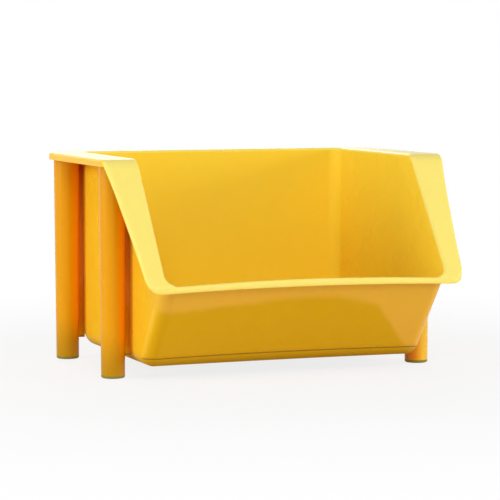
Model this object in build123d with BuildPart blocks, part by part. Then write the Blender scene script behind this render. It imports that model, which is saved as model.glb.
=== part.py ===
# Open-front produce bin: a moulded hopper tub with a wide rim, carried by four tapered round legs.
# Millimetres. X runs across the bin, the open front faces -Y, Z is up and the floor is Z = 0.
import os
from math import atan, cos, hypot, radians, sin, tan

from build123d import *

os.makedirs("parts", exist_ok=True)

# Overall sizes
width = 600.0
depth = 476.0
height = 356.0
front_y = -depth / 2
back_y = depth / 2

# Rim flange: flat at the back and sides, then it dives forward and down to the lip
slope_angle = 37.0          # from vertical
lip_height = 162.0          # where the slope meets the front plane
rim_wall = 3.5              # flange plate
skirt_wall = 3.0            # turned-down edge
skirt_depth = 12.5          # edge of the flat rim, from its face
slope_skirt_depth = 6.0     # edge of the sloping rim and the lip, square to its face
lip_crown = 4.5             # the lip rises this much at its middle
bend_radius = 34.0          # where the rim turns from flat to sloped
rim_edge_radius = 5.0       # rolled outer edge
opening_edge_radius = 4.5
rim_rear_radius = 30.0      # plan corners at the back
shoulder_rear = 18.0        # the rim starts to narrow this far behind the bend
shoulder_front = 13.0       # and has narrowed by shoulder_inset this far in front of it
shoulder_inset = 6.0
lip_narrowing = 27.5        # the rim is this much narrower on each side at the lip
side_bow = 1.5              # its tapering sides curve in by this much
side_end_run = 0.12         # run of the sides per millimetre where they meet the lip's corners
lip_corner_x = 31.0         # plan corners at the lip
lip_corner_y = 20.0

# Legs, in the room between the tub and the rim's turned-down edge
leg_top_radius = 22.0
leg_foot_radius = 19.4
leg_skirt_gap = 4.5
leg_tub_gap = 5.0
leg_bend_gap = 0.35         # behind the start of the bend
rear_leg_gap = 5.5          # in front of the rear edge
leg_wall = 3.5
foot_thickness = 5.0
leg_top_z = height - rim_wall
leg_x = width / 2 - skirt_wall - leg_skirt_gap - leg_top_radius

# Tub
wall = 3.5
half_tub = leg_x - leg_top_radius - leg_tub_gap     # at the top
tub_bottom = 23.5
floor_thickness = 3.5
front_wall_angle = 38.9     # from vertical
front_wall_gap = 9.5        # from the front plane to the front wall's ends, at the lip's underside
front_wall_bow = 8.5        # the middle of the front wall lies this much further back
back_wall_gap = 15.5        # from the outside of the back wall to the back of the rim
back_wall_draft = 0.5       # degrees
side_wall_draft = 0.1
front_foot_radius = 24.0
back_foot_radius = 32.0
tub_corner_radius = 22.0

# Webs between the tub and the legs
web_thickness = 6.0
web_rise = 12.2             # from the bottom of the tub
web_bottom = tub_bottom + web_rise
groove_depth = 1.5
groove_play = 0.2

# Fastening of the legs
spigot_length = 25.0
spigot_wall = 3.0
plug_play = 0.3
screw_drop = 16.5           # from the top of the leg
screw_z = leg_top_z - screw_drop
shank_radius = 1.75
pilot_play = 0.05
leg_hole_radius = 2.2
screw_length = 11.0
head_radius = 4.0
head_height = 2.6
seat_play = 0.6
seat_depth = 0.5
drive_width = 1.2
drive_depth = 1.3

# Foot caps
plug_length = 20.0
plug_wall = 2.5
foot_edge_radius = 3.0

slope_tan = tan(radians(slope_angle))
slope_cos = cos(radians(slope_angle))
wall_tan = tan(radians(front_wall_angle))
wall_cos = cos(radians(front_wall_angle))
wall_sin = sin(radians(front_wall_angle))
bend_y = front_y + (height - lip_height) * slope_tan
flat_start_y = bend_y + bend_radius * tan(radians(45 - slope_angle / 2))
lip_underside_z = lip_height - slope_skirt_depth / sin(radians(slope_angle))
front_wall_foot_y = front_y + front_wall_gap + (lip_underside_z - tub_bottom) * wall_tan
half_hollow = half_tub - wall
front_leg_y = flat_start_y + leg_bend_gap + leg_top_radius
rear_leg_y = back_y - skirt_wall - rear_leg_gap - leg_top_radius
leg_taper = (leg_top_radius - leg_foot_radius) / leg_top_z
leg_spots = {
    "front_left": (-leg_x, front_leg_y),
    "front_right": (leg_x, front_leg_y),
    "rear_left": (-leg_x, rear_leg_y),
    "rear_right": (leg_x, rear_leg_y),
}
spare = width / 20          # cutting and trimming bodies reach this far past the piece


def slope_y(z, drop):
    """Y of the sloping rim at height z, on the plane lying drop below its face."""
    return bend_y - (height - z) * slope_tan + drop / slope_cos


def slope_z(y, drop):
    """Height of the sloping rim at y, on the plane lying drop below its face."""
    return height - (bend_y - y + drop / slope_cos) / slope_tan


def wall_y(z, inset):
    """Y of the leaning front wall's ends at height z, inset behind its outer face."""
    return front_wall_foot_y - (z - tub_bottom) * wall_tan + inset / wall_cos


def bowed_wall_y(x, z, inset):
    """Y of the leaning front wall at any x."""
    return wall_y(z, inset) + front_wall_bow * (1 - (x / half_tub) ** 2)


def back_wall_y(z, inset):
    """Y of the back wall at height z, inset inside its outer face."""
    return back_y - back_wall_gap - (height - z) * tan(radians(back_wall_draft)) - inset


def half_at(z, inset):
    """Half width of the tub at height z, inset inside its outer faces."""
    return half_tub - (height - z) * tan(radians(side_wall_draft)) - inset


def leg_radius(z):
    """Outside radius of a leg at height z."""
    return leg_foot_radius + z * leg_taper


def rim_corner(drop):
    """Point where the flat and the sloping rim meet, drop below the face."""
    return (slope_y(height - drop, drop), height - drop)


# Plan of the rim
lip_half = width / 2 - lip_narrowing
lip_end_x = lip_half - lip_corner_x
crown_y = lip_crown * slope_tan
lip_turn = 2 * atan(crown_y / lip_end_x)
shoulder_y = bend_y - shoulder_front
side_end_y = front_y + lip_corner_y


def rim_outline(inset):
    """Plan of the rim's outer edge, moved in by inset."""
    side_x = width / 2 - inset
    rear_y = back_y - inset
    corner_y = back_y - rim_rear_radius
    rear_x = width / 2 - rim_rear_radius
    shoulder_x = side_x - shoulder_inset
    narrow_x = lip_half - inset
    lip_y = front_y + inset
    with BuildSketch() as plan:
        with BuildLine():
            with BuildLine() as one_side:
                Line((side_x, bend_y + shoulder_rear), (side_x, corner_y))
                RadiusArc((rear_x, rear_y), (side_x, corner_y), rim_rear_radius - inset)
                Spline(
                    (side_x, bend_y + shoulder_rear),
                    (shoulder_x, shoulder_y),
                    ((shoulder_x + narrow_x) / 2 - side_bow, (shoulder_y + side_end_y) / 2),
                    (narrow_x, side_end_y),
                    tangents=((0, -1), (-side_end_run, -1)),
                )
                Spline(
                    (narrow_x, side_end_y),
                    (lip_end_x + (narrow_x - lip_end_x) * 0.78, lip_y + (side_end_y - lip_y) * 0.26),
                    (lip_end_x, lip_y),
                    tangents=((-side_end_run, -1), (-cos(lip_turn), sin(lip_turn))),
                )
            mirror(one_side.line, about=Plane.YZ)
            Line((rear_x, rear_y), (-rear_x, rear_y))
            ThreePointArc((lip_end_x, lip_y), (0, lip_y + crown_y), (-lip_end_x, lip_y))
        make_face()
    return plan.sketch


def on_rim_face(point, drop):
    """True where a point lies on the rim's upper surface, drop below the face."""
    flat = abs(point.Z - (height - drop)) < 0.01
    sloped = abs(point.Y - slope_y(point.Z, drop)) < 0.02
    centre_y = rim_corner(bend_radius)[0]
    bent = abs(hypot(point.Y - centre_y, point.Z - (height - bend_radius)) - bend_radius + drop) < 0.02
    return flat or sloped or bent


def rim_face_edges(edges, drop):
    """Edges of the rim's upper surface, without the two lines where it bends."""
    found = []
    for edge in edges:
        middle = edge @ 0.5
        across = abs(middle.X) < 1 and abs(middle.Y - bend_y) < bend_radius
        if not across and all(on_rim_face(edge @ t, drop) for t in (0.1, 0.5, 0.9)):
            found.append(edge)
    return found


def front_wall_plan(inset):
    """Plan at the tub's bottom of all that lies behind the front wall's bowed face."""
    reach = width / 2
    middle_y = wall_y(tub_bottom, inset) + front_wall_bow
    end_y = middle_y - front_wall_bow * (reach / half_tub) ** 2
    far_y = back_y + height
    with BuildSketch() as plan:
        with BuildLine():
            ThreePointArc((-reach, end_y), (0, middle_y), (reach, end_y))
            Polyline((reach, end_y), (reach, far_y), (-reach, far_y), (-reach, end_y))
        make_face()
    return plan.sketch


def side_walls_section(inset):
    """Section across the tub between its side walls, which draw in towards the floor."""
    low = tub_bottom - spare
    high = height + spare
    with BuildSketch(Plane.XZ.offset(-back_y - spare)) as section:
        with BuildLine():
            Polyline(
                (half_at(low, inset), low),
                (half_at(high, inset), high),
                (-half_at(high, inset), high),
                (-half_at(low, inset), low),
                close=True,
            )
        make_face()
    return section.sketch


def front_foot_edge(edges, z):
    """The front one of the two edges that cross the middle of the tub at height z."""
    crossing = [e for e in edges if abs((e @ 0.5).Z - z) < 0.01 and abs((e @ 0.5).X) < 1]
    return [min(crossing, key=lambda e: (e @ 0.5).Y)]


def corner_edges(edges, low, inset):
    """Upright edges where the side walls meet the front and back walls."""
    found = []
    for edge in edges:
        middle = edge @ 0.5
        on_side = abs(abs(middle.X) - half_at(middle.Z, inset)) < 0.05
        on_front = abs(middle.Y - bowed_wall_y(middle.X, middle.Z, inset)) < 0.5 and middle.Z > low + 1
        on_back = abs(middle.Y - back_wall_y(middle.Z, inset)) < 0.1
        if on_side and (on_front or on_back):
            found.append(edge)
    return found


# Hollow underneath the rim, open downwards
with BuildPart() as rim_hollow:
    hollow_low = lip_underside_z - spare
    with BuildSketch(Plane.YZ):
        with BuildLine():
            Polyline(
                (back_y + spare, height - rim_wall),
                rim_corner(rim_wall),
                (slope_y(hollow_low, rim_wall), hollow_low),
                (back_y + spare, hollow_low),
                close=True,
            )
        make_face()
        bend = [v for v in vertices() if abs(v.Y - (height - rim_wall)) < 0.01 and v.X < back_y]
        fillet(bend, bend_radius - rim_wall)
    extrude(amount=width, both=True)
    with BuildSketch():
        add(rim_outline(skirt_wall))
    extrude(amount=height + spare, mode=Mode.INTERSECT)
    fillet(rim_face_edges(edges(), rim_wall), rim_edge_radius - skirt_wall)

# Outside of the tub below the rim, reaching up into the middle of the flange plate
with BuildPart() as tub_outside:
    merge = rim_wall / 2
    with BuildSketch(Plane.YZ):
        with BuildLine():
            Polyline(
                (slope_y(tub_bottom, merge), tub_bottom),
                rim_corner(merge),
                (back_wall_y(height, 0), height - merge),
                (back_wall_y(tub_bottom, 0), tub_bottom),
                close=True,
            )
        make_face()
        fillet([v for v in vertices() if abs(v.Y - tub_bottom) < 0.01 and v.X > 0], back_foot_radius)
        fillet([v for v in vertices() if abs(v.Y - (height - merge)) < 0.01 and v.X < 0], bend_radius - merge)
    extrude(amount=width / 2, both=True)
    extrude(side_walls_section(0), amount=2 * height, mode=Mode.INTERSECT)
    with BuildSketch(Plane.XY.offset(tub_bottom)):
        add(front_wall_plan(0))
    extrude(amount=2 * height, dir=(0, -wall_sin, wall_cos), mode=Mode.INTERSECT)
    fillet(front_foot_edge(edges(), tub_bottom), front_foot_radius)
    fillet(corner_edges(edges(), tub_bottom + front_foot_radius, 0), tub_corner_radius)

# Hollow of the tub, open upwards
floor_top = tub_bottom + floor_thickness
with BuildPart() as tub_hollow:
    above = height + spare
    with BuildSketch(Plane.YZ):
        with BuildLine():
            Polyline(
                (front_y - height, floor_top),
                (front_y - height, above),
                (back_wall_y(above, wall), above),
                (back_wall_y(floor_top, wall), floor_top),
                close=True,
            )
        make_face()
        fillet([v for v in vertices() if abs(v.Y - floor_top) < 0.01 and v.X > 0], back_foot_radius - wall)
    extrude(amount=width / 2, both=True)
    extrude(side_walls_section(wall), amount=2 * height, mode=Mode.INTERSECT)
    with BuildSketch(Plane.XY.offset(tub_bottom)):
        add(front_wall_plan(wall))
    extrude(amount=2 * height, dir=(0, -wall_sin, wall_cos), mode=Mode.INTERSECT)
    fillet(front_foot_edge(edges(), floor_top), front_foot_radius - wall)
    fillet(corner_edges(edges(), floor_top + front_foot_radius, wall), tub_corner_radius - wall)

# The tub: rim, walls, floor, webs and the spigots that carry the legs
with BuildPart() as hopper_tub:
    with BuildSketch(Plane.YZ):
        with BuildLine():
            Polyline(
                (back_y + spare, height),
                rim_corner(0),
                (front_y - spare, slope_z(front_y - spare, 0)),
                (front_y - spare, slope_z(front_y - spare, slope_skirt_depth)),
                (slope_y(height - skirt_depth, slope_skirt_depth), height - skirt_depth),
                (back_y + spare, height - skirt_depth),
                close=True,
            )
        make_face()
        fillet([v for v in vertices() if abs(v.Y - height) < 0.01 and v.X < back_y], bend_radius)
    extrude(amount=width, both=True)
    with BuildSketch():
        add(rim_outline(0))
    extrude(amount=height + spare, mode=Mode.INTERSECT)
    fillet(rim_face_edges(edges(), 0), rim_edge_radius)
    add(rim_hollow.part, mode=Mode.SUBTRACT)
    add(tub_outside.part)
    add(tub_hollow.part, mode=Mode.SUBTRACT)
    opening_edges = []
    for edge in rim_face_edges(edges(), 0):
        middle = edge @ 0.5
        behind_front = middle.Y > bowed_wall_y(middle.X, middle.Z, wall) - 0.5
        before_back = middle.Y < back_wall_y(height, wall) + 0.1
        if abs(middle.X) < half_hollow + 0.1 and behind_front and before_back:
            opening_edges.append(edge)
    fillet(opening_edges, opening_edge_radius)
    for x, y in leg_spots.values():
        side = 1 if x > 0 else -1
        web_low = leg_x - leg_radius(web_bottom) + groove_depth - groove_play
        web_high = leg_x - leg_radius(leg_top_z) + groove_depth - groove_play
        inside_low = half_at(web_bottom, wall * 0.7)
        inside_high = half_at(leg_top_z, wall * 0.7)
        with BuildSketch(Plane.XZ.offset(-y)):
            with BuildLine():
                Polyline(
                    (side * inside_low, web_bottom),
                    (side * web_low, web_bottom),
                    (side * web_high, leg_top_z + rim_wall / 2),
                    (side * inside_high, leg_top_z + rim_wall / 2),
                    close=True,
                )
            make_face()
        extrude(amount=web_thickness / 2, both=True)
        spigot_bottom = leg_top_z - spigot_length
        spigot_low = leg_radius(spigot_bottom) - leg_wall - plug_play
        spigot_high = leg_radius(leg_top_z + rim_wall / 2) - leg_wall - plug_play
        with Locations((x, y, spigot_bottom)):
            Cone(
                spigot_low,
                spigot_high,
                spigot_length + rim_wall / 2,
                align=(Align.CENTER, Align.CENTER, Align.MIN),
            )
            Cone(
                spigot_low - spigot_wall,
                spigot_high - spigot_wall,
                spigot_length,
                align=(Align.CENTER, Align.CENTER, Align.MIN),
                mode=Mode.SUBTRACT,
            )
        with BuildSketch(Plane.XZ.offset(-y)):
            with Locations((x, screw_z)):
                Circle(shank_radius + pilot_play)
        extrude(amount=-leg_top_radius, mode=Mode.SUBTRACT)
hopper_tub.part.label = "hopper_tub"
export_step(hopper_tub.part, "parts/hopper_tub.step")

# Legs: hollow tapered tubes, grooved on the tub's side for the webs
for place, (x, y) in leg_spots.items():
    side = 1 if x > 0 else -1
    seat_y = y + leg_radius(screw_z) - seat_depth
    with BuildPart() as leg:
        with Locations((x, y, foot_thickness)):
            Cone(
                leg_radius(foot_thickness),
                leg_radius(leg_top_z),
                leg_top_z - foot_thickness,
                align=(Align.CENTER, Align.CENTER, Align.MIN),
            )
            Cone(
                leg_radius(foot_thickness) - leg_wall,
                leg_radius(leg_top_z) - leg_wall,
                leg_top_z - foot_thickness,
                align=(Align.CENTER, Align.CENTER, Align.MIN),
                mode=Mode.SUBTRACT,
            )
        with BuildSketch(Plane.XZ.offset(-y)):
            with BuildLine():
                Polyline(
                    (side * half_tub, web_bottom - groove_play),
                    (side * (leg_x - leg_radius(web_bottom) + groove_depth), web_bottom - groove_play),
                    (side * (leg_x - leg_radius(above) + groove_depth), above),
                    (side * half_tub, above),
                    close=True,
                )
            make_face()
        extrude(amount=web_thickness / 2 + groove_play, both=True, mode=Mode.SUBTRACT)
        with BuildSketch(Plane.XZ.offset(-y)):
            with Locations((x, screw_z)):
                Circle(leg_hole_radius)
        extrude(amount=-leg_top_radius - 5, mode=Mode.SUBTRACT)
        with BuildSketch(Plane.XZ.offset(-seat_y)):
            with Locations((x, screw_z)):
                Circle(head_radius + seat_play)
        extrude(amount=-5, mode=Mode.SUBTRACT)
    leg.part.label = f"{place}_leg"
    export_step(leg.part, f"parts/{place}_leg.step")

# Foot caps: a rounded disc on the floor and a hollow plug up inside the leg
for place, (x, y) in leg_spots.items():
    plug_radius = leg_radius(foot_thickness) - leg_wall - plug_play
    with BuildPart() as foot_cap:
        with Locations((x, y, 0)):
            Cylinder(leg_foot_radius, foot_thickness, align=(Align.CENTER, Align.CENTER, Align.MIN))
        fillet(edges().group_by(Axis.Z)[0], foot_edge_radius)
        with Locations((x, y, foot_thickness)):
            Cylinder(plug_radius, plug_length, align=(Align.CENTER, Align.CENTER, Align.MIN))
        chamfer(edges().group_by(Axis.Z)[-1], 1.0)
        with Locations((x, y, foot_thickness)):
            Cylinder(
                plug_radius - plug_wall,
                plug_length,
                align=(Align.CENTER, Align.CENTER, Align.MIN),
                mode=Mode.SUBTRACT,
            )
    foot_cap.part.label = f"{place}_foot_cap"
    export_step(foot_cap.part, f"parts/{place}_foot_cap.step")

# Leg screws: pan-head self-tapping screws with a cross drive, one in the back of every leg
with BuildPart() as leg_screws:
    for x, y in leg_spots.values():
        seat_y = y + leg_radius(screw_z) - seat_depth
        with BuildSketch(Plane.XZ.offset(-seat_y)):
            with Locations((x, screw_z)):
                Circle(shank_radius)
        extrude(amount=screw_length)
        with BuildSketch(Plane.XZ.offset(-seat_y)):
            with Locations((x, screw_z)):
                Circle(head_radius)
        extrude(amount=-head_height)
        rims = [
            edge
            for edge in edges().filter_by(GeomType.CIRCLE)
            if abs((edge @ 0.5).Y - seat_y - head_height) < 0.01 and abs((edge @ 0.5).X - x) < 10
        ]
        fillet(rims, head_height * 0.6)
        with BuildSketch(Plane.XZ.offset(-seat_y - head_height)):
            with Locations((x, screw_z)):
                Rectangle(head_radius * 1.1, drive_width)
                Rectangle(drive_width, head_radius * 1.1)
        extrude(amount=drive_depth, mode=Mode.SUBTRACT)
leg_screws.part.label = "leg_screws"
export_step(leg_screws.part, "parts/leg_screws.step")
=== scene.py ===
import math

import bpy
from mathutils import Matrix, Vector


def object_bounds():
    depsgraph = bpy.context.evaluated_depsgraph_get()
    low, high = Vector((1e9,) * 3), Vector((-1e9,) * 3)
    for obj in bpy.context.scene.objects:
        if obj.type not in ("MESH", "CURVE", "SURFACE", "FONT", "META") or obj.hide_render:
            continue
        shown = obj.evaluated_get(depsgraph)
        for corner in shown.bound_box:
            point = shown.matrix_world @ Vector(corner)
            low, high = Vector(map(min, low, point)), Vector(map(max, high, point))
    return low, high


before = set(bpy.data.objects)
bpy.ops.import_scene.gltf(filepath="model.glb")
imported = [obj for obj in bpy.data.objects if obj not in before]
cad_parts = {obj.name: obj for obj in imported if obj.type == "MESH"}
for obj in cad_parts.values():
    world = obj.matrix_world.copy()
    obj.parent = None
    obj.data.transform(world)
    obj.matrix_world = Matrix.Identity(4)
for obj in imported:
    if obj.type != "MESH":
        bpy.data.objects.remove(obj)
cad_low, cad_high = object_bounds()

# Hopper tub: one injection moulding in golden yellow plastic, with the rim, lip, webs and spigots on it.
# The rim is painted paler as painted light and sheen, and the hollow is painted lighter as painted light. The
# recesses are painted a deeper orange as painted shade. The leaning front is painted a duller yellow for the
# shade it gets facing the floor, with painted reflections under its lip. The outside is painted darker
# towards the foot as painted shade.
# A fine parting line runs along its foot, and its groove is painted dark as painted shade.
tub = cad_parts["hopper_tub"]
body_yellow = (0.91, 0.510, 0.014)
body_yellow_flow = (0.94, 0.550, 0.024)
hollow_painted_light_yellow = (0.96, 0.67, 0.044)
rim_painted_light_yellow = (0.90, 0.75, 0.175)
front_shade_yellow = (0.745, 0.400, 0.0005)
painted_reflection_yellow = (0.88, 0.465, 0.038)
edge_highlight_yellow = (0.95, 0.72, 0.20)
foot_shade_brown = (0.46, 0.235, 0.002)
line_shade_brown = (0.36, 0.17, 0.006)
recess_shade_orange = (0.62, 0.030, 0.0005)

# Places on the tub, in metres. A lean is how far a wall drifts per metre of height. A bow is how far a form
# drifts per metre squared of distance from the middle of the bin.
side_wall_middle = 0.2412
side_wall_lean = 0.0017
back_wall_middle = 0.2178
back_wall_lean = 0.0087
front_direction = (0.0, -0.778, -0.628)
front_wall_middle = 0.0735
front_wall_bow = 0.1115
wall_blend = 0.0006
slope_direction = (0.0, -0.79864, 0.60182)
slope_face = 0.28757
slope_pale_start = 0.0085
slope_pale_full = 0.0030
rim_top = cad_high[2]
top_pale_start = 0.0048
top_pale_full = 0.0014
line_height = 0.0392
line_bow = 0.034
line_half_width = 0.0014
line_core = 0.0004
line_depth = 0.0008
shade_and_dust_top = 0.048
shade_and_dust_full = 0.024
recess_reach = 0.05
edge_radius = 0.0028

# The painted reflection under the lip lies above the lowest of three slanting edges. The left one rises
# towards the right,
# the other two fall: one gently, and one at 45 degrees in the far corner.
reflection_left_rise = 0.06
reflection_right_fall = 0.25
reflection_right_offset = 0.0174
reflection_corner_offset = 0.1195
reflection_start = 0.138
reflection_full = 0.153
reflection_unevenness = 0.020

# Limits of the masks. A turn is how far a face's direction agrees with another: 1 is the same direction.
hidden_turn = -0.15
shown_turn = -0.05
front_turn_start = 0.20
front_turn_full = 0.80
line_turn_start = -0.02
line_turn_full = -0.25
recess_start = 0.80
recess_full = 0.36
recess_strength = 0.95
edge_turn_start = 0.995
edge_turn_full = 0.90
edge_highlight_strength = 0.3
shade_and_dust_strength = 0.7

# Surface of the moulding: its roughness when clean, what dust adds to it, and light that bleeds in.
tub_roughness = (0.24, 0.32)
dust_roughness = 0.6
tub_grain = 0.12
tub_shine = 0.08
bleed_amount = 0.15
bleed_depth = 0.004
bleed_by_colour = (1.0, 0.35, 0.05)


# A value or a linked output goes into a socket.
def fill(tree, socket, value):
    if isinstance(value, bpy.types.NodeSocket):
        tree.links.new(value, socket)
    else:
        socket.default_value = value


# A mask that goes from low where the value is at start to high where it is at end.
def ramp(tree, value, start, end, low=0.0, high=1.0, soft=False):
    node = tree.nodes.new("ShaderNodeMapRange")
    node.interpolation_type = "SMOOTHSTEP" if soft else "LINEAR"
    node.inputs["From Min"].default_value = start
    node.inputs["From Max"].default_value = end
    node.inputs["To Min"].default_value = low
    node.inputs["To Max"].default_value = high
    tree.links.new(value, node.inputs["Value"])
    return node.outputs["Result"]


def noise(tree, place, scale, detail, distortion=0.0):
    node = tree.nodes.new("ShaderNodeTexNoise")
    node.inputs["Scale"].default_value = scale
    node.inputs["Detail"].default_value = detail
    node.inputs["Distortion"].default_value = distortion
    tree.links.new(place, node.inputs["Vector"])
    return node.outputs["Fac"]


def bump(tree, height, depth, strength=1.0, under=None):
    node = tree.nodes.new("ShaderNodeBump")
    node.inputs["Distance"].default_value = depth
    fill(tree, node.inputs["Strength"], strength)
    tree.links.new(height, node.inputs["Height"])
    if under is not None:
        tree.links.new(under, node.inputs["Normal"])
    return node.outputs["Normal"]


# The surface of every plastic piece: the fine grain of an etched mould, slow waves left by shrinkage, flow
# marks and light wear. The group gives a colour mix, a roughness mix and a normal.
grain_depth = 0.00003
wave_depth = 0.0012
wave_strength = 0.12
scuff_start = 0.35
scuff_full = 0.75
surface = bpy.data.node_groups.new("moulded_surface", "ShaderNodeTree")
surface.interface.new_socket("Vector", in_out="INPUT", socket_type="NodeSocketVector")
surface.interface.new_socket("Grain", in_out="INPUT", socket_type="NodeSocketFloat")
surface.interface.new_socket("Mottle", in_out="OUTPUT", socket_type="NodeSocketFloat")
surface.interface.new_socket("Wear", in_out="OUTPUT", socket_type="NodeSocketFloat")
surface.interface.new_socket("Normal", in_out="OUTPUT", socket_type="NodeSocketVector")
given = surface.nodes.new("NodeGroupInput").outputs
result = surface.nodes.new("NodeGroupOutput").inputs
flow_marks = noise(surface, given["Vector"], scale=14.0, detail=5.0, distortion=0.6)
scuffs = noise(surface, given["Vector"], scale=16.0, detail=1.5)
waves = noise(surface, given["Vector"], scale=9.0, detail=1.0)
grain = noise(surface, given["Vector"], scale=900.0, detail=3.0)
waved = bump(surface, waves, wave_depth, wave_strength)
surface.links.new(flow_marks, result["Mottle"])
surface.links.new(ramp(surface, scuffs, scuff_start, scuff_full, soft=True), result["Wear"])
surface.links.new(bump(surface, grain, grain_depth, given["Grain"], waved), result["Normal"])


def moulded(tree, place, grain_strength):
    node = tree.nodes.new("ShaderNodeGroup")
    node.node_tree = surface
    node.inputs["Grain"].default_value = grain_strength
    tree.links.new(place, node.inputs["Vector"])
    return node.outputs["Mottle"], node.outputs["Wear"], node.outputs["Normal"]


def new_material(name):
    material = bpy.data.materials.new(name)
    material.use_nodes = True
    return material, material.node_tree, material.node_tree.nodes["Principled BSDF"]


def axes(tree, vector):
    node = tree.nodes.new("ShaderNodeSeparateXYZ")
    tree.links.new(vector, node.inputs["Vector"])
    return node.outputs["X"], node.outputs["Y"], node.outputs["Z"]


def calculate(tree, operation, *terms):
    node = tree.nodes.new("ShaderNodeMath")
    node.operation = operation
    for socket, term in zip(node.inputs, terms):
        fill(tree, socket, term)
    return node.outputs["Value"]


# One colour laid over another where the mask is on. A colour is three numbers or a linked output.
def tint(tree, mask, under, over):
    node = tree.nodes.new("ShaderNodeMix")
    node.data_type = "RGBA"
    tree.links.new(mask, node.inputs["Factor"])
    for name, colour in (("A", under), ("B", over)):
        if isinstance(colour, bpy.types.NodeSocket):
            tree.links.new(colour, node.inputs[name])
        else:
            node.inputs[name].default_value = (*colour, 1.0)
    return node.outputs["Result"]


tub_plastic, tree, shader = new_material("tub_plastic")
coordinates = tree.nodes.new("ShaderNodeTexCoord").outputs
place = coordinates["Object"]
x, y, z = axes(tree, place)
_, normal_y, normal_z = axes(tree, coordinates["Normal"])
x_squared = calculate(tree, "MULTIPLY", x, x)
mottle, wear, grained_normal = moulded(tree, place, tub_grain)
colour = tint(tree, mottle, body_yellow, body_yellow_flow)


# How far a place lies along a direction, or how much two directions agree.
def along(tree, vector, direction):
    node = tree.nodes.new("ShaderNodeVectorMath")
    node.operation = "DOT_PRODUCT"
    fill(tree, node.inputs[0], vector)
    fill(tree, node.inputs[1], direction)
    return node.outputs["Value"]


# Painted light: the hollow of the tub is painted lighter than its outside, standing in for the light that
# falls into it.
# Its zone ends halfway into the side walls, the back wall and the bowed front wall, and leaves out every face
# that looks down.
side_place = calculate(tree, "MULTIPLY_ADD", z, -side_wall_lean, calculate(tree, "ABSOLUTE", x))
back_place = calculate(tree, "MULTIPLY_ADD", z, -back_wall_lean, y)
front_place = calculate(tree, "MULTIPLY_ADD", x_squared, -front_wall_bow, along(tree, place, front_direction))
hollow = ramp(tree, normal_z, hidden_turn, shown_turn)
for wall_place, wall_middle in (
    (side_place, side_wall_middle),
    (back_place, back_wall_middle),
    (front_place, front_wall_middle),
):
    within = ramp(tree, wall_place, wall_middle + wall_blend, wall_middle - wall_blend)
    hollow = calculate(tree, "MULTIPLY", hollow, within)
outer = calculate(tree, "SUBTRACT", 1.0, hollow)
colour = tint(tree, hollow, colour, hollow_painted_light_yellow)

# Painted shade: the leaning front wall faces the floor, and is painted a deeper, duller yellow for the shade
# it gets there.
# Painted reflections: under the lip, towards both ends, it is painted a lighter yellow for the bright room it
# reflects.
# A noise makes the edges of these painted reflections uneven.
reflection_left = calculate(tree, "MULTIPLY_ADD", x, -reflection_left_rise, z)
reflection_right = calculate(tree, "MULTIPLY_ADD", x, reflection_right_fall, z)
reflection_right = calculate(tree, "SUBTRACT", reflection_right, reflection_right_offset)
reflection_corner = calculate(tree, "SUBTRACT", calculate(tree, "ADD", x, z), reflection_corner_offset)
reflection_place = calculate(tree, "MAXIMUM", reflection_left, calculate(tree, "MAXIMUM", reflection_right, reflection_corner))
reflection_noise = noise(tree, place, scale=7.0, detail=2.0)
reflection_place = calculate(tree, "MULTIPLY_ADD", reflection_noise, reflection_unevenness, reflection_place)
painted_reflection = ramp(tree, reflection_place, reflection_start, reflection_full, soft=True)
front_turn = along(tree, coordinates["Normal"], front_direction)
front = ramp(tree, front_turn, front_turn_start, front_turn_full, soft=True)
front = calculate(tree, "MULTIPLY", front, outer)
colour = tint(tree, front, colour, tint(tree, painted_reflection, front_shade_yellow, painted_reflection_yellow))

# Painted shade: the outside is painted darker towards its foot, where little light reaches it. The same mask
# adds dust's dullness to the roughness further down.
shade_and_dust = ramp(tree, z, shade_and_dust_top, shade_and_dust_full, high=shade_and_dust_strength, soft=True)
shade_and_dust = calculate(tree, "MULTIPLY", shade_and_dust, outer)
colour = tint(tree, shade_and_dust, colour, foot_shade_brown)

# The parting line rises a little towards the middle of the front, and ends where the side walls begin.
line_place = calculate(tree, "ADD", calculate(tree, "MULTIPLY", x_squared, line_bow), z)
line_distance = calculate(tree, "ABSOLUTE", calculate(tree, "SUBTRACT", line_place, line_height))
line = ramp(tree, line_distance, line_half_width, line_core)
line_end = ramp(tree, normal_y, line_turn_start, line_turn_full)
line_end = calculate(tree, "MULTIPLY", line_end, outer)
line = calculate(tree, "MULTIPLY", line, line_end)
# Painted shade: the parting line is painted dark brown, standing in for the shade in its groove.
colour = tint(tree, line, colour, line_shade_brown)

# Painted light: the rim is painted paler, standing in for the light and sheen on its upward faces. Its pale
# zone is the slab under its sloping face, and the slab under its flat top.
slope_start, slope_full = slope_face - slope_pale_start, slope_face - slope_pale_full
slope_zone = ramp(tree, along(tree, place, slope_direction), slope_start, slope_full, soft=True)
top_zone = ramp(tree, z, rim_top - top_pale_start, rim_top - top_pale_full, soft=True)
colour = tint(tree, calculate(tree, "MAXIMUM", slope_zone, top_zone), colour, rim_painted_light_yellow)


# 1 in the open, falling towards 0 where other surfaces stand within reach.
def openness(tree, reach, own_only):
    node = tree.nodes.new("ShaderNodeAmbientOcclusion")
    node.samples = 6
    node.only_local = own_only
    node.inputs["Distance"].default_value = reach
    return node.outputs["AO"]


# Painted shade: recesses beside the webs and in the outer corners are painted a deep orange, for the shade
# that gathers there.
recess_shade = openness(tree, recess_reach, own_only=True)
recess_shade = ramp(tree, recess_shade, recess_start, recess_full, high=recess_strength, soft=True)
colour = tint(tree, calculate(tree, "MULTIPLY", recess_shade, outer), colour, recess_shade_orange)

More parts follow.
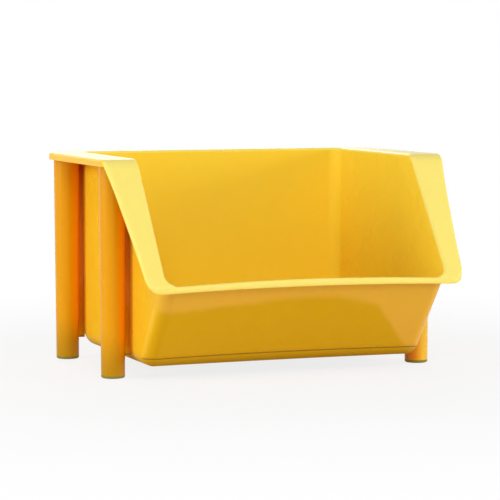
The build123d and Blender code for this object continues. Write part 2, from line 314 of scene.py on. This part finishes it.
# Painted highlight: edges are painted a little paler than the faces beside them, in patches, standing in for
# the sheen along their rounding. An edge shows where the rounded normal turns away from the face's own.
rounded = tree.nodes.new("ShaderNodeBevel")
rounded.samples = 4
rounded.inputs["Radius"].default_value = edge_radius
face_normal = tree.nodes.new("ShaderNodeNewGeometry").outputs["Normal"]
edge_turn = along(tree, rounded.outputs["Normal"], face_normal)
edge_highlight = ramp(tree, edge_turn, edge_turn_start, edge_turn_full, high=edge_highlight_strength)
colour = tint(tree, calculate(tree, "MULTIPLY", edge_highlight, mottle), colour, edge_highlight_yellow)


def bleed_light(shader):
    shader.inputs["Subsurface Weight"].default_value = bleed_amount
    shader.inputs["Subsurface Radius"].default_value = bleed_by_colour
    shader.inputs["Subsurface Scale"].default_value = bleed_depth


def dress(piece, material):
    piece.data.materials.clear()
    piece.data.materials.append(material)


# The parting line is a shallow groove, and dust makes the satin surface dull.
groove = tree.nodes.new("ShaderNodeBump")
groove.invert = True
groove.inputs["Distance"].default_value = line_depth
tree.links.new(line, groove.inputs["Height"])
tree.links.new(grained_normal, groove.inputs["Normal"])
clean_roughness = ramp(tree, wear, 0.0, 1.0, *tub_roughness)
roughness = calculate(tree, "MULTIPLY_ADD", shade_and_dust, dust_roughness, clean_roughness)
tree.links.new(colour, shader.inputs["Base Color"])
tree.links.new(roughness, shader.inputs["Roughness"])
tree.links.new(groove.outputs["Normal"], shader.inputs["Normal"])
shader.inputs["Specular IOR Level"].default_value = tub_shine
bleed_light(shader)
dress(tub, tub_plastic)

# Legs: four tapered round tubes of the same plastic, pushed up over the tub's spigots.
# They are moulded apart from the tub, so their shade is a trace deeper and their flow marks run lengthwise.
# The lower ends of the two left legs are painted darker. The right legs are painted paler, as painted light
# from the right.
leg_amber = (0.76, 0.325, 0.001)
leg_amber_flow = (0.80, 0.355, 0.002)
right_light_yellow = (0.98, 0.60, 0.050)
painted_glow_orange = (1.0, 0.27, 0.003)
lower_end_brown = (0.46, 0.235, 0.002)

# Places on the legs, in metres. Between the two rows of legs, their distance from the middle tells left
# from right. The inward values are a face's direction across the bin times that distance.
row_start = 0.1
row_full = 0.2
right_light_strength = 0.75
lower_end_top = 0.085
lower_end_full = 0.010
lower_end_strength = 0.8
glow_reach = 0.06
glow_start = 0.97
glow_full = 0.45
glow_strength = 0.8
inward_start = 0.07
inward_full = -0.12
leg_roughness = (0.20, 0.30)
leg_grain = 0.25
leg_shine = 0.14
flow_stretch = 0.25
leg_plastic, tree, shader = new_material("leg_plastic")
coordinates = tree.nodes.new("ShaderNodeTexCoord").outputs
x, _, z = axes(tree, coordinates["Object"])
normal_x, _, _ = axes(tree, coordinates["Normal"])
stretch = tree.nodes.new("ShaderNodeMapping")
stretch.inputs["Scale"].default_value = (1.0, 1.0, flow_stretch)
tree.links.new(coordinates["Object"], stretch.inputs["Vector"])
mottle, wear, grained_normal = moulded(tree, stretch.outputs["Vector"], leg_grain)
colour = tint(tree, mottle, leg_amber, leg_amber_flow)
# Painted light: the right legs are painted paler, standing in for the light that falls on them from the
# right.
colour = tint(tree, ramp(tree, x, row_start, row_full, high=right_light_strength), colour, right_light_yellow)

# Painted light: where a leg faces the tub, it is painted a glowing orange, standing in for light from the
# tub's side.
glow = openness(tree, glow_reach, own_only=False)
glow = ramp(tree, glow, glow_start, glow_full, high=glow_strength, soft=True)
inward = ramp(tree, calculate(tree, "MULTIPLY", normal_x, x), inward_start, inward_full)
colour = tint(tree, calculate(tree, "MULTIPLY", glow, inward), colour, painted_glow_orange)

# The lower ends of the left legs are painted darker towards the floor.
lower_end_dark = ramp(tree, z, lower_end_top, lower_end_full, high=lower_end_strength, soft=True)
left_legs = ramp(tree, x, row_start, -row_start)
colour = tint(tree, calculate(tree, "MULTIPLY", lower_end_dark, left_legs), colour, lower_end_brown)
tree.links.new(colour, shader.inputs["Base Color"])
tree.links.new(ramp(tree, wear, 0.0, 1.0, *leg_roughness), shader.inputs["Roughness"])
tree.links.new(grained_normal, shader.inputs["Normal"])
shader.inputs["Specular IOR Level"].default_value = leg_shine
bleed_light(shader)
corners = ("front_left", "front_right", "rear_left", "rear_right")
for corner in corners:
    dress(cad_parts[corner + "_leg"], leg_plastic)

# Foot caps: plugs that close the legs' open lower ends and stand on the floor.
# They are moulded in the same plastic, and are painted a dark olive.
foot_olive = (0.21, 0.168, 0.004)
foot_olive_flow = (0.28, 0.226, 0.008)
foot_grain = 0.6
foot_roughness = 0.55
foot_plastic, tree, shader = new_material("foot_plastic")
coordinates = tree.nodes.new("ShaderNodeTexCoord").outputs
mottle, _, grained_normal = moulded(tree, coordinates["Object"], foot_grain)
tree.links.new(tint(tree, mottle, foot_olive, foot_olive_flow), shader.inputs["Base Color"])
tree.links.new(grained_normal, shader.inputs["Normal"])
shader.inputs["Roughness"].default_value = foot_roughness
for corner in corners:
    dress(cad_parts[corner + "_foot_cap"], foot_plastic)

# Leg screws: zinc-plated self-tapping screws with pan heads.
# One goes through the back of every leg into its spigot.
zinc_dark = (0.55, 0.56, 0.58)
zinc_light = (0.72, 0.72, 0.70)
zinc_roughness = 0.35
screw_steel, tree, shader = new_material("screw_steel")
coordinates = tree.nodes.new("ShaderNodeTexCoord").outputs
plating = noise(tree, coordinates["Object"], scale=400.0, detail=2.0)
tree.links.new(tint(tree, plating, zinc_dark, zinc_light), shader.inputs["Base Color"])
shader.inputs["Metallic"].default_value = 1.0
shader.inputs["Roughness"].default_value = zinc_roughness
dress(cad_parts["leg_screws"], screw_steel)

# Floor: a plain pale floor a trace below the feet, made as one plane.
# It shows near white with the bin's faint shadow, and lights the underside.
floor_size = 12.0
floor_drop = 0.0005
floor_grey = 0.75
floor_roughness = 0.9
near_radius = 0.35
near_brightness = 0.82
far_radius = 1.4
bpy.ops.mesh.primitive_plane_add(size=floor_size, location=(0, 0, -floor_drop))
floor = bpy.context.object
floor.name = "floor"


# 1 for what the camera, a reflection or a clear piece sees, and 0 for soft light.
def seen_sharply(tree):
    rays = tree.nodes.new("ShaderNodeLightPath").outputs
    mirrored = calculate(tree, "MAXIMUM", rays["Is Glossy Ray"], rays["Is Transmission Ray"])
    return calculate(tree, "MAXIMUM", rays["Is Camera Ray"], mirrored)


floor_white, tree, shader = new_material("floor_white")
shader.inputs["Base Color"].default_value = (floor_grey, floor_grey, floor_grey, 1.0)
shader.inputs["Roughness"].default_value = floor_roughness
distance = tree.nodes.new("ShaderNodeVectorMath")
distance.operation = "LENGTH"
tree.links.new(tree.nodes.new("ShaderNodeTexCoord").outputs["Object"], distance.inputs[0])
far = ramp(tree, distance.outputs["Value"], near_radius, far_radius, low=near_brightness, soft=True)
glow = tree.nodes.new("ShaderNodeEmission")
choice = tree.nodes.new("ShaderNodeMixShader")
tree.links.new(calculate(tree, "MULTIPLY", seen_sharply(tree), far), choice.inputs["Fac"])
tree.links.new(shader.outputs["BSDF"], choice.inputs[1])
tree.links.new(glow.outputs["Emission"], choice.inputs[2])
tree.links.new(choice.outputs["Shader"], tree.nodes["Material Output"].inputs["Surface"])
floor.data.materials.append(floor_white)

# Light: a white room whose backdrop shows brighter than it shines, a large soft light before the bin,
# one to the left, one to the right, and a weaker one behind. All lamps aim at the middle of the bin.
room_light = 0.39
backdrop_white = 1.0
lamp_target = Vector((0, 0, 0.2))
world = bpy.data.worlds.new("room")
bpy.context.scene.world = world
world.use_nodes = True
tree = world.node_tree
room = tree.nodes["Background"]
backdrop = tree.nodes.new("ShaderNodeBackground")
for background, strength in ((room, room_light), (backdrop, backdrop_white)):
    background.inputs["Color"].default_value = (1.0, 1.0, 1.0, 1.0)
    background.inputs["Strength"].default_value = strength
choice = tree.nodes.new("ShaderNodeMixShader")
tree.links.new(seen_sharply(tree), choice.inputs["Fac"])
tree.links.new(room.outputs["Background"], choice.inputs[1])
tree.links.new(backdrop.outputs["Background"], choice.inputs[2])
tree.links.new(choice.outputs["Shader"], tree.nodes["World Output"].inputs["Surface"])
for name, spot, width, height, power in (
    ("key", (-0.8, -3.0, 2.0), 2.0, 1.4, 52.0),
    ("side", (-3.1, -0.1, 0.9), 1.0, 1.3, 41.0),
    ("fill", (3.0, -2.0, 0.6), 1.2, 1.2, 49.0),
    ("back", (0.8, 3.2, 1.6), 1.6, 1.2, 26.0),
):
    lamp = bpy.data.lights.new(name, "AREA")
    lamp.shape = "RECTANGLE"
    lamp.size = width
    lamp.size_y = height
    lamp.energy = power
    light = bpy.data.objects.new(name, lamp)
    bpy.context.scene.collection.objects.link(light)
    light.location = spot
    light.rotation_mode = "QUATERNION"
    light.rotation_quaternion = (lamp_target - light.location).to_track_quat("-Z", "Y")

# Camera: a long lens from the front left, a little above the bin.
# Its place, aim and focal length were fitted to the photograph.
eye = Vector((-1.3623, -3.5274, 0.51265))
turn = math.radians(20.95)
dip = math.radians(4.81)
focal_length = 162.75
lens_shift_x = -0.001
lens_shift_y = 0.001
aim = Vector((math.sin(turn) * math.cos(dip), math.cos(turn) * math.cos(dip), -math.sin(dip)))
lens = bpy.data.cameras.new("camera")
lens.sensor_width = 36.0
lens.lens = focal_length
lens.shift_x = lens_shift_x
lens.shift_y = lens_shift_y
lens.clip_end = 50.0
camera = bpy.data.objects.new("camera", lens)
bpy.context.scene.collection.objects.link(camera)
camera.location = eye
camera.rotation_mode = "QUATERNION"
camera.rotation_quaternion = aim.to_track_quat("-Z", "Y")
bpy.context.scene.camera = camera
bpy.context.scene.view_settings.view_transform = "Standard"
